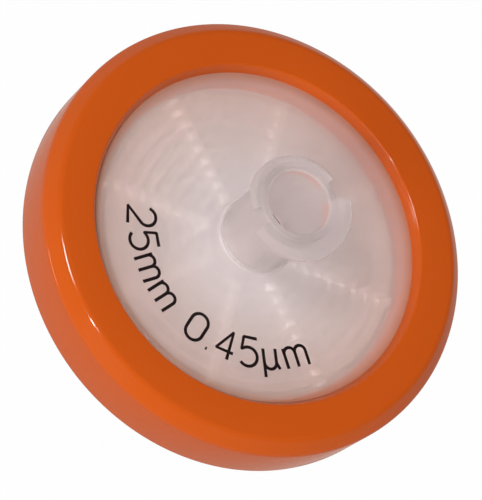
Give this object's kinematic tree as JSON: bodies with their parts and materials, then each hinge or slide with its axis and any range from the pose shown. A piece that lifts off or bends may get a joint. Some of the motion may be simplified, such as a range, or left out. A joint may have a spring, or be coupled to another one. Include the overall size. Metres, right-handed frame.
{
  "type": "syringe filter",
  "caption": "Disc filter in a clear housing bound by an orange moulded ring, with a female locking inlet socket and a male slip outlet tip on one axis.",
  "frame": {"origin": "centre of the outlet tip's end face, which is the lowest point of the part", "axes": "+Z along the flow axis from the outlet tip to the inlet mouth, +X across the disc"},
  "size_m": [0.03, 0.03, 0.0202],
  "materials": {
    "inlet_housing": "natural translucent polypropylene, satin",
    "membrane": "white expanded fluoropolymer film, matt",
    "outlet_housing": "natural translucent polypropylene, satin",
    "outer_ring": "orange overmoulded polypropylene, glossy"
  },
  "bodies": {
    "root": {"inlet_housing": "inlet_housing", "membrane": "membrane", "outlet_housing": "outlet_housing", "outer_ring": "outer_ring"}
  },
  "joints": []
}
